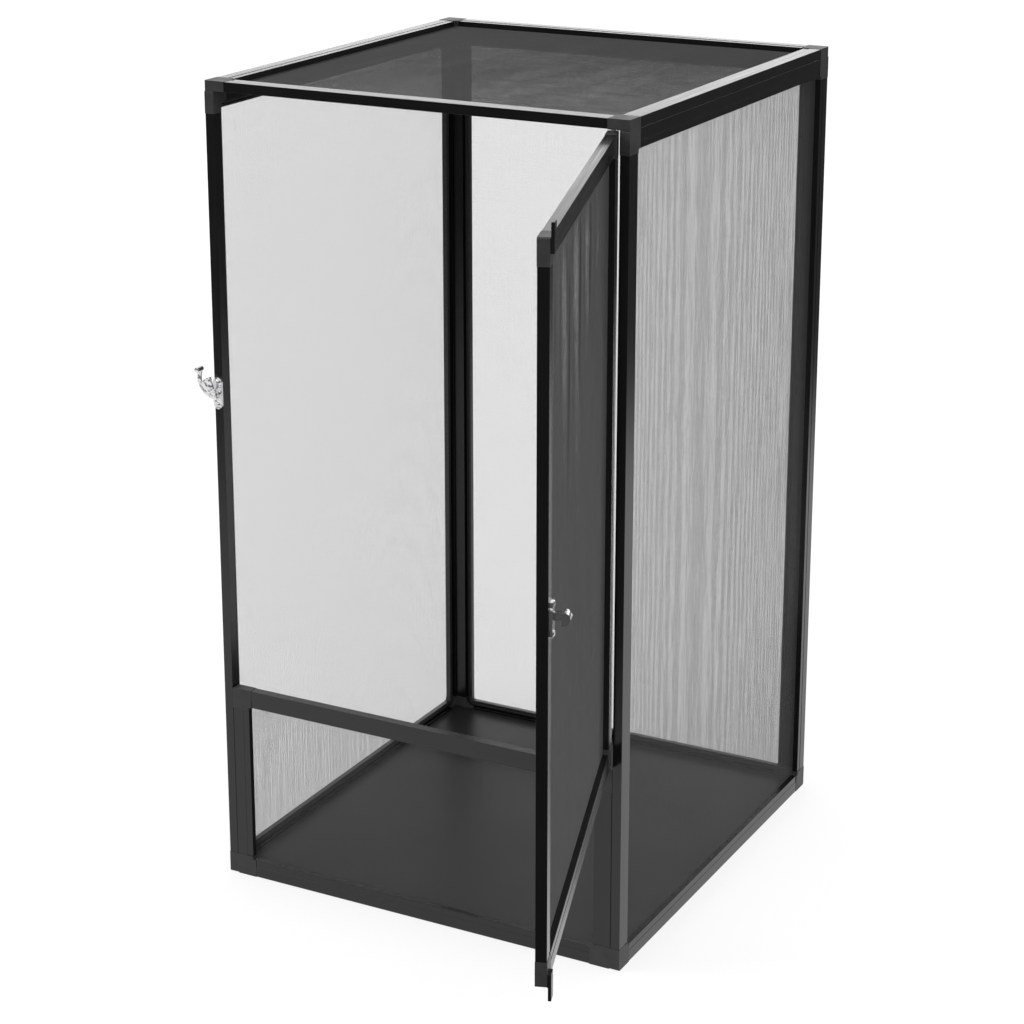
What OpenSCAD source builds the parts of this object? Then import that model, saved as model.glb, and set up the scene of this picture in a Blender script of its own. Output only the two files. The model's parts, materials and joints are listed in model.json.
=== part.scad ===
// Tall screen cage for reptiles, built from flat framed panels.
//
// Six panels share one construction: hollow aluminium rails butt against moulded
// corner blocks, whose tongues fill the rails, and a round cord presses the screen
// into a channel that runs right round the inner side. Two side panels stand on the
// ground. The back panel and the low front panel are pinned between them, the lid
// lies on top, and the door turns on two pins at the right of the front opening.
//
// The origin is the middle of the footprint on the ground: +X is the cage's right,
// +Y points to its back and +Z is up. The door is drawn standing open.

/* [Cage] */
// Width across the front
cage_w = 406; // [300:1:700]
// Depth from the front to the back
cage_d = 430; // [300:1:700]
// Height from the ground to the top of the lid
cage_h = 750; // [520:1:1300]
// Height of the fixed front panel below the door
lower_h = 188; // [110:1:260]
// Thickness of the floor board
floor_t = 9; // [7.5:0.5:12]
// Gap between the floor board and the panels round it
floor_gap = 0.5; // [0.3:0.1:2]

/* [Framed panels] */
// Thickness of a panel at its corner blocks
frame_t = 9; // [8.4:0.1:12]
// How far a corner block reaches past the panel that stands against it
block_over = 11; // [10.5:0.5:20]
// Radius of a corner block's outer corner
block_r = 1.5; // [0.5:0.1:3]
// How far a rail's outer edge is set in from the blocks
edge_set = 0.3; // [0.2:0.1:1.2]
// How far a rail's faces are set in from the blocks
face_set = 0.2; // [0.1:0.1:0.6]
// Width of a rail, seen from outside
rail_w = 16.6; // [15.4:0.1:17]
// Width of the hollow part of a rail
tube_w = 10.4; // [9:0.1:11]
// Thickness of the rail's walls
wall_t = 1.1; // [0.8:0.1:1.4]
// Radius of the rail's long edges
rail_r = 0.8; // [0.4:0.1:1]
// How far the rail's outer face steps back beside the hollow part
face_step = 0.3; // [0.2:0.1:0.9]
// Width of the channel for the screen cord
groove_w = 3.8; // [3.6:0.1:4.2]
// Metal left under the channel, from the rail's outer face
groove_floor = 2; // [1.6:0.1:2.2]
// Height of the lip that the screen lies on, from the rail's outer face
lip_h = 5.4; // [5:0.1:5.8]
// Length of a corner block's tongues
tongue_l = 18; // [12:1:24]
// Clearance round a tongue in its rail
tongue_fit = 0.1; // [0.05:0.05:0.2]

/* [Screens] */
// Thickness of a screen
screen_t = 0.4; // [0.3:0.1:0.8]
// Width of one strand of the net
strand_w = 1.2; // [0.8:0.1:2]
// Distance from strand to strand that is aimed at
net_pitch = 36; // [34:1:80]
// Diameter of the cord that holds the screen
cord_d = 3.6; // [3.3:0.1:3.6]
// Radius of the cord's middle line at a panel's corners
cord_bend = 5; // [4:0.5:6]
// How far the cord stands above the lip
cord_proud = 0.4; // [0.2:0.1:0.5]

/* [Door] */
// Angle that the door stands open
door_open = 109; // [60:1:119]
// Gap over and under the door
door_gap = 2; // [1.5:0.1:4]
// Gap between the door and the right side panel
hinge_gap = 2.2; // [2:0.1:4]
// Gap between the door and the left side panel
free_gap = 1.5; // [1:0.1:4]
// Diameter of the hinge pins
pin_d = 4; // [3:0.1:4.4]
// Distance from the hinge axis to the door's hinged edge
pin_in = 5.5; // [5:0.1:7]
// Distance from the hinge axis to the door's outer face
pin_back = 4; // [3.6:0.1:4.6]
// Length of a hinge pin inside the door
pin_hold = 12; // [8:1:18]
// Length of a hinge pin inside the frame
pin_reach = 5; // [3:0.5:6]
// Radial clearance round pins and dowels
pin_fit = 0.05; // [0.02:0.01:0.08]
// Outer diameter of the washer under the door
washer_d = 7.6; // [6.5:0.1:8]
// Thickness of a stop tab
tab_t = 3; // [2:0.1:4]
// Width of a stop tab along the door
tab_w = 9; // [6:0.5:14]
// Length of a stop tab on the door
tab_on = 11; // [8:0.5:16]
// Length of a stop tab beyond the door
tab_over = 10.4; // [8:0.1:10.9]
// Space left behind the free end of a stop tab
tab_relief = 0.5; // [0.3:0.1:1]

/* [Latch] */
// Height of the latch above the ground
latch_z = 470; // [320:1:480]
// Distance between the two screws of the latch
latch_pitch = 20.5; // [18:0.5:26]
// Width of the latch base
latch_w = 9; // [8:0.5:9]
// Thickness of the latch base under its screws
latch_t = 2.2; // [1.6:0.1:3]
// Height of the pivot boss above the post
boss_h = 4.8; // [4:0.1:6]
// Radius of the lever's locking web
web_r = 16.2; // [14:0.1:16.6]
// Thickness of the lever
lever_t = 1.8; // [1.5:0.1:2]
// Height of the rim along the lever's web
rim_h = 1.2; // [0.6:0.1:1.4]
// Diameter of the lever's finger peg
peg_d = 4.8; // [4:0.1:6]
// Length of the finger peg
peg_l = 8.6; // [6:0.1:12]
// Diameter of the rivet that the lever turns on
rivet_d = 3.4; // [3:0.1:3.8]
// Width of the keeper's plate
keeper_w = 12; // [11:0.5:13]
// Distance from the door's free edge to the middle of the keeper's plate
keeper_in = 8; // [7.5:0.5:8.5]
// Distance between the two screws of the keeper
keeper_pitch = 22; // [20:0.5:30]
// Thickness of the keeper's plate
keeper_t = 2.5; // [2:0.1:3]
// Radius of the keeper's rounded nose
nose_r = 5.2; // [4.5:0.1:6]
// Length of the nose along the door
nose_l = 8.5; // [7:0.1:10]

/* [Fixings] */
// Diameter of the dowels that pin the panels together
dowel_d = 4; // [3:0.1:4.4]
// Length of a dowel in each of its two holes
dowel_reach = 5; // [3:0.5:6]
// Distance from a dowel to the nearest free end of its panel
dowel_in = 12; // [10:0.5:16]
// Diameter of the screws' shanks
screw_d = 2.4; // [2:0.1:3]
// Length of the screws' shanks below their heads
screw_l = 8; // [5:0.5:9]
// Distance from a floor dowel to the nearest edge of the board
floor_dowel_in = 7; // [5:0.5:9]

/* [Hidden] */

$fn = 48;
eps = 0.01;

// Colours as they look on the real thing
metal_colour = [0.13, 0.13, 0.14];
block_colour = [0.27, 0.27, 0.28];
screen_colour = [0.2, 0.2, 0.2];
cord_colour = [0.08, 0.08, 0.08];
board_colour = [0.3, 0.3, 0.31];
chrome_colour = [0.85, 0.85, 0.87];
nylon_colour = [0.9, 0.9, 0.88];

// Levels through a panel, from its outer face, and distances in from its edge
rail_t = frame_t - 2 * face_set;
block = frame_t + block_over;
groove_at = edge_set + tube_w;
lip_at = groove_at + groove_w;
opening_at = edge_set + rail_w;
lip_w = rail_w - tube_w - groove_w;
floor_level = face_set + groove_floor;
lip_level = face_set + lip_h;
cord_at = groove_at + groove_w / 2;
cord_level = lip_level + cord_proud - cord_d / 2;
hollow_w = tube_w - 2 * wall_t;
hollow_t = rail_t - 2 * wall_t;
hollow_r = 0.5;
corner_at = cord_at + cord_bend;

// Sizes of the panels, as width and height
side_size = [cage_d, cage_h - frame_t];
back_size = [cage_w - 2 * frame_t, cage_h - frame_t];
lower_size = [cage_w - 2 * frame_t, lower_h];
lid_size = [cage_w, cage_d];
door_w = cage_w - 2 * frame_t - hinge_gap - free_gap;
door_h = cage_h - frame_t - lower_h - 2 * door_gap;
door_size = [door_w, door_h];

// The hinge axis
door_bottom = lower_h + door_gap;
door_top = door_bottom + door_h;
hinge_x = cage_w / 2 - frame_t - hinge_gap - pin_in;
hinge_y = -cage_d / 2 + pin_back;
washer_t = door_gap - 0.3;

// The latch stands on the front edge of the left side panel
post_y = -cage_d / 2 + edge_set;
latch_x = -cage_w / 2 + frame_t / 2;
lever_off = boss_h + 0.1;
hub_t = lever_t + 0.6;
lever_front = lever_off + lever_t + rim_h;
rivet_off = 1.5;
rivet_head = [5.6, 1.2];
screw_head = [4.8, 1.3];

// The keeper's stem passes just outside the lever's web
stem_w = 3.4;
stem_h = 6;
web_clear = 0.5;
stem_in = latch_x + cage_w / 2 + web_r + web_clear + stem_w / 2 - frame_t - free_gap;
keeper_a = door_w - keeper_in;
stem_a = keeper_in - stem_in - stem_w / 2;
keeper_b = latch_z - door_bottom;
nose_off = lever_front + face_set - edge_set + 0.4;
ear_r = 4;

// ---------------------------------------------------------------- outlines

module round_rect(size, r) {
  translate([r, 0]) square([size[0] - 2 * r, size[1]]);
  translate([0, r]) square([size[0], size[1] - 2 * r]);
  for (x = [r, size[0] - r], y = [r, size[1] - r])
    translate([x, y]) circle(r);
}

// A square that fills the quarter plane beyond (from, from), with its near corner rounded
module corner_fill(from, r, to) {
  translate([from + r, from]) square([to - from - r, to - from]);
  translate([from, from + r]) square([to - from, to - from - r]);
  translate([from + r, from + r]) circle(r);
}

// A pie slice from angle a0 to angle a1, less than half a turn
module slice(r, a0, a1) {
  mid = (a0 + a1) / 2;
  polygon([[0, 0], 2 * r * [cos(a0), sin(a0)], 2 * r * [cos(mid), sin(mid)],
    2 * r * [cos(a1), sin(a1)]]);
}

// The rail's section: across the panel from its edge, and up from its outer face
module rail_section() {
  difference() {
    union() {
      round_rect([tube_w, rail_t], rail_r);
      translate([tube_w / 2, face_step]) square([rail_w - tube_w / 2, groove_floor - face_step]);
      translate([rail_w - lip_w, face_step]) square([lip_w, lip_h - face_step]);
    }
    translate([wall_t, wall_t]) round_rect([hollow_w, hollow_t], hollow_r);
  }
}

// ---------------------------------------------------------------- a framed panel
// A panel is drawn with its outer face at z = 0 and its inner side up.

module rail_low(size) {
  translate([block, edge_set, face_set]) rotate([90, 0, 90])
    linear_extrude(size[0] - 2 * block) rail_section();
}

module rail_high(size) {
  translate([size[0] - block, size[1] - edge_set, face_set]) rotate([90, 0, -90])
    linear_extrude(size[0] - 2 * block) rail_section();
}

module stile_near(size) {
  translate([edge_set, size[1] - block, face_set]) rotate([90, 0, 0])
    linear_extrude(size[1] - 2 * block) rail_section();
}

module stile_far(size) {
  translate([size[0] - edge_set, block, face_set]) rotate([90, 0, 180])
    linear_extrude(size[1] - 2 * block) rail_section();
}

// A block's tongue is the rail's hollow, less the clearance all round
module tongue() {
  in = wall_t + tongue_fit;
  translate([block - eps, edge_set + in, face_set + in]) rotate([90, 0, 90])
    linear_extrude(tongue_l + eps)
      round_rect([hollow_w - 2 * tongue_fit, hollow_t - 2 * tongue_fit], hollow_r - tongue_fit);
}

// A block fills its square, but for the corner that lies inside the rails
module block_outline() {
  difference() {
    square(block);
    translate([opening_at, opening_at]) square(block);
  }
}

module corner_block() {
  // the block proper, outside the cord's channel
  linear_extrude(frame_t) difference() {
    intersection() {
      corner_fill(0, block_r, 2 * block);
      block_outline();
    }
    corner_fill(groove_at, corner_at - groove_at, 2 * block);
  }
  // the channel's floor
  linear_extrude(floor_level) intersection() {
    corner_fill(groove_at - 1, corner_at - groove_at, 2 * block);
    block_outline();
  }
  // the lip that the screen's corner lies on
  linear_extrude(lip_level) intersection() {
    corner_fill(lip_at, corner_at - lip_at, 2 * block);
    block_outline();
  }
  tongue();
  mirror([1, -1, 0]) tongue();
}

module corner_blocks(size) {
  corner_block();
  translate([size[0], 0, 0]) mirror([1, 0, 0]) corner_block();
  translate([0, size[1], 0]) mirror([0, 1, 0]) corner_block();
  translate([size[0], size[1], 0]) rotate([0, 0, 180]) corner_block();
}

module screen(size) {
  net = [size[0] - 2 * lip_at, size[1] - 2 * lip_at];
  hem = opening_at - lip_at;
  span = [net[0] - 2 * hem, net[1] - 2 * hem];
  count = [round(span[0] / net_pitch), round(span[1] / net_pitch)];
  step = [(span[0] + strand_w) / count[0], (span[1] + strand_w) / count[1]];
  translate([lip_at, lip_at, lip_level]) linear_extrude(screen_t) difference() {
    round_rect(net, corner_at - lip_at);
    for (i = [0 : count[0] - 1], j = [0 : count[1] - 1])
      translate([hem + i * step[0], hem + j * step[1]])
        square([step[0] - strand_w, step[1] - strand_w]);
  }
}

module cord_run(from, length, turn) {
  translate([from[0], from[1], cord_level]) rotate([0, 90, turn])
    cylinder(h = length, d = cord_d);
}

module cord_turn(x, y, turn) {
  translate([x, y, cord_level]) rotate([0, 0, turn])
    rotate_extrude(angle = 90) translate([cord_bend, 0]) circle(d = cord_d);
}

module spline(size) {
  far = [size[0] - corner_at, size[1] - corner_at];
  cord_run([corner_at, cord_at], far[0] - corner_at, 0);
  cord_run([corner_at, size[1] - cord_at], far[0] - corner_at, 0);
  cord_run([cord_at, corner_at], far[1] - corner_at, 90);
  cord_run([size[0] - cord_at, corner_at], far[1] - corner_at, 90);
  cord_turn(corner_at, corner_at, 180);
  cord_turn(far[0], corner_at, 270);
  cord_turn(far[0], far[1], 0);
  cord_turn(corner_at, far[1], 90);
}

// ---------------------------------------------------------------- where the panels stand

// The left panel runs from the front to the back
module left_at() {
  translate([-cage_w / 2, -cage_d / 2, 0]) rotate([90, 0, 90]) children();
}

// The right panel runs from the back to the front
module right_at() {
  translate([cage_w / 2, cage_d / 2, 0]) rotate([90, 0, -90]) children();
}

// The back panel runs from the left to the right
module back_at() {
  translate([frame_t - cage_w / 2, cage_d / 2, 0]) rotate([90, 0, 0]) children();
}

// The low front panel runs from the right to the left
module lower_at() {
  translate([cage_w / 2 - frame_t, -cage_d / 2, 0]) rotate([90, 0, 180]) children();
}

// The lid runs from the left to the right, and from the back to the front
module lid_at() {
  translate([-cage_w / 2, cage_d / 2, cage_h]) rotate([180, 0, 0]) children();
}

// The door runs from its hinged edge to its free edge, turned about the hinge axis
module door_at() {
  translate([hinge_x, hinge_y, door_bottom]) rotate([0, 0, door_open])
    translate([pin_in, -pin_back, 0]) rotate([90, 0, 180]) children();
}

module latch_at(off) {
  translate([latch_x, post_y - off, latch_z]) rotate([90, 0, 0]) children();
}

// The latch's two screws stand above and below its pivot
module latch_screw_places() {
  for (side = [-1, 1]) translate([0, side * latch_pitch / 2, 0]) children();
}

module keeper_screw_places() {
  for (side = [-1, 1]) translate([keeper_a, keeper_b + side * keeper_pitch / 2, 0]) children();
}

// ---------------------------------------------------------------- pins, dowels and their holes

// Every hole and what stands in it is one rod, grown by the clearance for the hole
module rod(d, length, grow) {
  translate([0, 0, -grow]) cylinder(h = length + 2 * grow, d = d + 2 * grow);
}

module lid_dowel_rods(grow) {
  for (x = [-1, 1], y = [-1, 1])
    translate([x * (cage_w / 2 - frame_t / 2), y * (cage_d / 2 - dowel_in),
        cage_h - frame_t - dowel_reach])
      rod(dowel_d, 2 * dowel_reach, grow);
}

// Cross dowels at a height, in the joint between a side panel and what stands between
module cross_dowel_rods(y, heights, grow) {
  for (x = [-1, 1], z = heights)
    translate([x * (cage_w / 2 - frame_t) - dowel_reach, y, z]) rotate([0, 90, 0])
      rod(dowel_d, 2 * dowel_reach, grow);
}

module back_dowel_rods(grow) {
  cross_dowel_rods((cage_d - frame_t) / 2, [dowel_in, cage_h - frame_t - dowel_in], grow);
}

module lower_dowel_rods(grow) {
  cross_dowel_rods((frame_t - cage_d) / 2, [dowel_in, lower_h - dowel_in], grow);
}

module floor_dowel_rods(grow) {
  for (side = [-1, 1])
    cross_dowel_rods(side * (cage_d / 2 - frame_t - floor_dowel_in), [floor_t / 2], grow);
}

module hinge_rods(grow) {
  translate([hinge_x, hinge_y, door_bottom - door_gap - pin_reach])
    rod(pin_d, pin_reach + door_gap + pin_hold, grow);
  translate([hinge_x, hinge_y, door_top - pin_hold])
    rod(pin_d, pin_hold + door_gap + pin_reach, grow);
}

// ---------------------------------------------------------------- left side panel

module left_top_rail() {
  color(metal_colour) left_at() rail_high(side_size);
}

module left_bottom_rail() {
  color(metal_colour) left_at() rail_low(side_size);
}

module left_front_stile() {
  color(metal_colour) difference() {
    left_at() stile_near(side_size);
    lower_dowel_rods(pin_fit);
    latch_at(-screw_l) latch_screw_places() rod(screw_d, screw_l + latch_t, pin_fit);
  }
}

module left_rear_stile() {
  color(metal_colour) left_at() stile_far(side_size);
}

module left_corner_blocks() {
  color(block_colour) difference() {
    left_at() corner_blocks(side_size);
    lid_dowel_rods(pin_fit);
    back_dowel_rods(pin_fit);
    lower_dowel_rods(pin_fit);
    floor_dowel_rods(pin_fit);
  }
}

module left_screen() {
  color(screen_colour) left_at() screen(side_size);
}

module left_spline() {
  color(cord_colour) left_at() spline(side_size);
}

// ---------------------------------------------------------------- right side panel

module right_top_rail() {
  color(metal_colour) right_at() rail_high(side_size);
}

module right_bottom_rail() {
  color(metal_colour) right_at() rail_low(side_size);
}

module right_front_stile() {
  color(metal_colour) difference() {
    right_at() stile_far(side_size);
    lower_dowel_rods(pin_fit);
  }
}

module right_rear_stile() {
  color(metal_colour) right_at() stile_near(side_size);
}

module right_corner_blocks() {
  color(block_colour) difference() {
    right_at() corner_blocks(side_size);
    lid_dowel_rods(pin_fit);
    back_dowel_rods(pin_fit);
    lower_dowel_rods(pin_fit);
    floor_dowel_rods(pin_fit);
  }
}

module right_screen() {
  color(screen_colour) right_at() screen(side_size);
}

module right_spline() {
  color(cord_colour) right_at() spline(side_size);
}

// ---------------------------------------------------------------- back panel

module back_top_rail() {
  color(metal_colour) back_at() rail_high(back_size);
}

module back_bottom_rail() {
  color(metal_colour) back_at() rail_low(back_size);
}

module back_left_stile() {
  color(metal_colour) back_at() stile_near(back_size);
}

module back_right_stile() {
  color(metal_colour) back_at() stile_far(back_size);
}

module back_corner_blocks() {
  color(block_colour) difference() {
    back_at() corner_blocks(back_size);
    back_dowel_rods(pin_fit);
  }
}

module back_screen() {
  color(screen_colour) back_at() screen(back_size);
}

module back_spline() {
  color(cord_colour) back_at() spline(back_size);
}

// ---------------------------------------------------------------- low front panel

module lower_top_rail() {
  color(metal_colour) lower_at() rail_high(lower_size);
}

module lower_bottom_rail() {
  color(metal_colour) lower_at() rail_low(lower_size);
}

module lower_left_stile() {
  color(metal_colour) lower_at() stile_far(lower_size);
}

module lower_right_stile() {
  color(metal_colour) lower_at() stile_near(lower_size);
}

module lower_corner_blocks() {
  color(block_colour) difference() {
    lower_at() corner_blocks(lower_size);
    lower_dowel_rods(pin_fit);
    hinge_rods(pin_fit);
  }
}

module lower_screen() {
  color(screen_colour) lower_at() screen(lower_size);
}

module lower_spline() {
  color(cord_colour) lower_at() spline(lower_size);
}

// ---------------------------------------------------------------- lid

module lid_front_rail() {
  color(metal_colour) lid_at() rail_high(lid_size);
}

module lid_rear_rail() {
  color(metal_colour) lid_at() rail_low(lid_size);
}

module lid_left_rail() {
  color(metal_colour) lid_at() stile_near(lid_size);
}

module lid_right_rail() {
  color(metal_colour) lid_at() stile_far(lid_size);
}

module lid_corner_blocks() {
  color(block_colour) difference() {
    lid_at() corner_blocks(lid_size);
    lid_dowel_rods(pin_fit);
    hinge_rods(pin_fit);
  }
}

module lid_screen() {
  color(screen_colour) lid_at() screen(lid_size);
}

module lid_spline() {
  color(cord_colour) lid_at() spline(lid_size);
}

// ---------------------------------------------------------------- door

module door_top_rail() {
  color(metal_colour) door_at() rail_high(door_size);
}

module door_bottom_rail() {
  color(metal_colour) door_at() rail_low(door_size);
}

module door_hinge_stile() {
  color(metal_colour) door_at() stile_near(door_size);
}

module door_free_stile() {
  color(metal_colour) door_at() difference() {
    stile_far(door_size);
    keeper_screw_places() translate([0, 0, face_set - keeper_t]) rod(screw_d, screw_l, pin_fit);
  }
}

module door_corner_blocks() {
  color(block_colour) difference() {
    door_at() corner_blocks(door_size);
    hinge_rods(pin_fit);
  }
}

module door_screen() {
  color(screen_colour) door_at() screen(door_size);
}

module door_spline() {
  color(cord_colour) door_at() spline(door_size);
}

// A tab stops the door flush with the frame: its free end laps the rail beyond the gap
module stop_tab() {
  translate([door_w - tab_w, door_h - tab_on, -tab_t]) cube([tab_w, tab_on, tab_t]);
  translate([door_w - tab_w, door_h - eps, -tab_t])
    cube([tab_w, tab_over + eps, tab_t - tab_relief]);
}

module door_stop_tabs() {
  color(cord_colour) door_at() {
    stop_tab();
    translate([0, door_h, 0]) mirror([0, 1, 0]) stop_tab();
  }
}

module hinge_pins() {
  color(chrome_colour) hinge_rods(0);
}

module hinge_washer() {
  color(nylon_colour) translate([hinge_x, hinge_y, lower_h]) difference() {
    cylinder(h = washer_t, d = washer_d);
    translate([0, 0, -1]) cylinder(h = washer_t + 2, d = pin_d + 3 * pin_fit);
  }
}

// ---------------------------------------------------------------- floor and dowels

module floor_board() {
  size = [cage_w - 2 * frame_t - 2 * floor_gap, cage_d - 2 * frame_t - 2 * floor_gap];
  color(board_colour) difference() {
    translate([-size[0] / 2, -size[1] / 2, 0]) linear_extrude(floor_t) round_rect(size, 2);
    floor_dowel_rods(pin_fit);
  }
}

module floor_dowels() {
  color(nylon_colour) floor_dowel_rods(0);
}

module lid_dowels() {
  color(nylon_colour) lid_dowel_rods(0);
}

module back_dowels() {
  color(nylon_colour) back_dowel_rods(0);
}

module lower_dowels() {
  color(nylon_colour) lower_dowel_rods(0);
}

// ---------------------------------------------------------------- latch

module latch_base() {
  color(chrome_colour) latch_at(0) difference() {
    union() {
      linear_extrude(latch_t) union() {
        for (side = [-1, 1]) translate([0, side * latch_pitch / 2]) circle(d = latch_w);
        translate([-latch_w / 2, -latch_pitch / 2]) square([latch_w, latch_pitch]);
      }
      cylinder(h = boss_h, d = latch_w);
    }
    latch_screw_places() translate([0, 0, -1]) cylinder(h = latch_t + 2, d = screw_d + 2 * pin_fit);
    translate([0, 0, rivet_off - pin_fit]) cylinder(h = boss_h, d = rivet_d + 2 * pin_fit);
  }
}

// The lever's horn is a ring piece about this point, seen from the front
horn_at = [0.3, 14];
horn_r = [14.4, 18.6];
horn_from = 150;
horn_to = 262;
web_from = 105;
web_to = 235;
rim_to = 150;
rim_w = 1.5;
hub_d = 10;

module horn_outline() {
  translate(horn_at) intersection() {
    difference() {
      circle(horn_r[1]);
      circle(horn_r[0]);
    }
    union() {
      slice(horn_r[1], horn_from, (horn_from + horn_to) / 2);
      slice(horn_r[1], (horn_from + horn_to) / 2, horn_to);
    }
  }
}

module web_outline() {
  intersection() {
    circle(web_r);
    translate(horn_at) circle(horn_r[1]);
    slice(web_r, web_from, web_to);
  }
}

module latch_lever() {
  peg_r = (horn_r[0] + horn_r[1]) / 2;
  color(chrome_colour) latch_at(lever_off) difference() {
    union() {
      linear_extrude(lever_t) union() {
        horn_outline();
        web_outline();
      }
      linear_extrude(lever_t + rim_h) intersection() {
        difference() {
          circle(web_r);
          circle(web_r - rim_w);
        }
        slice(web_r, web_from, rim_to);
        translate(horn_at) circle(horn_r[1]);
      }
      cylinder(h = hub_t, d = hub_d);
      translate(horn_at + peg_r * [cos(horn_from), sin(horn_from)])
        cylinder(h = peg_l, d = peg_d);
    }
    translate([0, 0, -1]) cylinder(h = hub_t + 2, d = rivet_d + 2 * pin_fit);
  }
}

module latch_rivet() {
  head_at = lever_off + hub_t + 0.1;
  color(chrome_colour) {
    latch_at(rivet_off) cylinder(h = head_at - rivet_off + eps, d = rivet_d);
    latch_at(head_at) cylinder(h = rivet_head[1], d = rivet_head[0]);
  }
}

// A pan head screw, with the underside of its head at z = 0 and its shank below
module pan_screw(length) {
  cylinder(h = screw_head[1], d = screw_head[0]);
  translate([0, 0, -length]) cylinder(h = length + eps, d = screw_d);
}

module latch_screws() {
  color(chrome_colour) latch_at(latch_t) latch_screw_places() pan_screw(screw_l);
}

module keeper() {
  color(chrome_colour) door_at() translate([keeper_a, keeper_b, face_set]) {
    difference() {
      translate([0, 0, -keeper_t]) linear_extrude(keeper_t) union() {
        for (side = [-1, 1]) translate([0, side * keeper_pitch / 2]) circle(ear_r);
        translate([-ear_r, -keeper_pitch / 2]) square([2 * ear_r, keeper_pitch]);
        translate([-keeper_w / 2, -keeper_pitch / 3]) square([keeper_w, 2 * keeper_pitch / 3]);
      }
      for (side = [-1, 1]) translate([0, side * keeper_pitch / 2, -keeper_t - 1])
        cylinder(h = keeper_t + 2, d = screw_d + 2 * pin_fit);
    }
    // the stem and the rounded nose that the lever's web slides behind
    translate([stem_a, -stem_h / 2, -nose_off - 1])
      cube([stem_w, stem_h, nose_off + 1 - keeper_t / 2]);
    translate([stem_a, 0, -nose_off]) rotate([0, 90, 0])
      linear_extrude(nose_l) intersection() {
        translate([nose_r / 4, 0]) circle(nose_r);
        translate([0, -nose_r]) square([2 * nose_r, 2 * nose_r]);
      }
  }
}

module keeper_screws() {
  color(chrome_colour) door_at() keeper_screw_places()
    translate([0, 0, face_set - keeper_t]) rotate([180, 0, 0]) pan_screw(screw_l);
}

left_top_rail();
left_bottom_rail();
left_front_stile();
left_rear_stile();
left_corner_blocks();
left_screen();
left_spline();
right_top_rail();
right_bottom_rail();
right_front_stile();
right_rear_stile();
right_corner_blocks();
right_screen();
right_spline();
back_top_rail();
back_bottom_rail();
back_left_stile();
back_right_stile();
back_corner_blocks();
back_screen();
back_spline();
lower_top_rail();
lower_bottom_rail();
lower_left_stile();
lower_right_stile();
lower_corner_blocks();
lower_screen();
lower_spline();
lid_front_rail();
lid_rear_rail();
lid_left_rail();
lid_right_rail();
lid_corner_blocks();
lid_screen();
lid_spline();
door_top_rail();
door_bottom_rail();
door_hinge_stile();
door_free_stile();
door_corner_blocks();
door_screen();
door_spline();
floor_board();
floor_dowels();
lid_dowels();
back_dowels();
lower_dowels();
hinge_pins();
hinge_washer();
door_stop_tabs();
latch_base();
latch_lever();
latch_rivet();
latch_screws();
keeper();
keeper_screws();
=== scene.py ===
"""Looks of a tall reptile cage: aluminium rails, corner blocks, woven screens and a latch."""

import json
import math
import random
from collections import defaultdict

import bmesh
import bpy
from mathutils import Matrix, Vector


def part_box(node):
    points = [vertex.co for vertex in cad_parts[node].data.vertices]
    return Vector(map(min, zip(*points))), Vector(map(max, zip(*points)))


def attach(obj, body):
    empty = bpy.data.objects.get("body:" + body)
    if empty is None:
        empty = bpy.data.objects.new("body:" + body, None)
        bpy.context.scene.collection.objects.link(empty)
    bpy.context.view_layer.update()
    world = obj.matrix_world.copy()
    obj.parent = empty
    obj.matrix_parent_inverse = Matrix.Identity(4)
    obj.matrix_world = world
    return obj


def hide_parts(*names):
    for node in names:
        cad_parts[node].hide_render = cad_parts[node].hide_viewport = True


bl_info = {
    "name": "Screen Cage",
    "version": (1, 0, 0),
    "blender": (4, 5, 0),
    "location": "View3D > Sidebar > Screen Cage",
    "description": "Builds a screen cage's rails, blocks, screens, floor, latch and studio",
    "category": "Object",
}

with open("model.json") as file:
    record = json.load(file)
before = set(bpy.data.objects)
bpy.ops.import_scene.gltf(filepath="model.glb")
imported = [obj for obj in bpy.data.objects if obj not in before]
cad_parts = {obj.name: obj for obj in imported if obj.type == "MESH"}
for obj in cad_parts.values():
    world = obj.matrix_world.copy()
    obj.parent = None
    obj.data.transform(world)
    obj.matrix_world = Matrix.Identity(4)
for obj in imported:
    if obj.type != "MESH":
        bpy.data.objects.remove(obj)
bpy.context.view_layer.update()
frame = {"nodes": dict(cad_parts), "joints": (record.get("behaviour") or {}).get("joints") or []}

MM = 0.001
# Points of a new shape that lie this near are one point
CLOSE = 0.01 * MM
# The same for the packed model's loose triangles
CAD_CLOSE = 0.002 * MM
# Edges between faces that meet at less than this are smooth
SMOOTH_BELOW = math.radians(35)
# Nearly all values of a noise pattern lie between these
NOISE_SPAN = (0.3, 0.7)

# Sizes that the packed model gives
LID_LOW, LID_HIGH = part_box("lid_corner_blocks")
CAGE_W = LID_HIGH.x - LID_LOW.x
CAGE_D = LID_HIGH.y - LID_LOW.y
CAGE_H = LID_HIGH.z
FRAME_T = LID_HIGH.z - LID_LOW.z
LOWER_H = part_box("lower_corner_blocks")[1].z
DOOR_LOW, DOOR_HIGH = (corner.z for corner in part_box("door_corner_blocks"))
HINGE = next(Vector(j["pos_m"]) for j in frame["joints"] if j["name"] == "door_swing")
LATCH = next(Vector(j["pos_m"]) for j in frame["joints"] if j["name"] == "latch_swing")


def length(name, description, default):
    """A size in metres."""
    return bpy.props.FloatProperty(
        name=name, description=description, default=default, min=0, unit="LENGTH", precision=5)


def colour(name, description, default):
    """A linear colour."""
    return bpy.props.FloatVectorProperty(
        name=name, description=description, default=default, subtype="COLOR", min=0, max=1)


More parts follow.
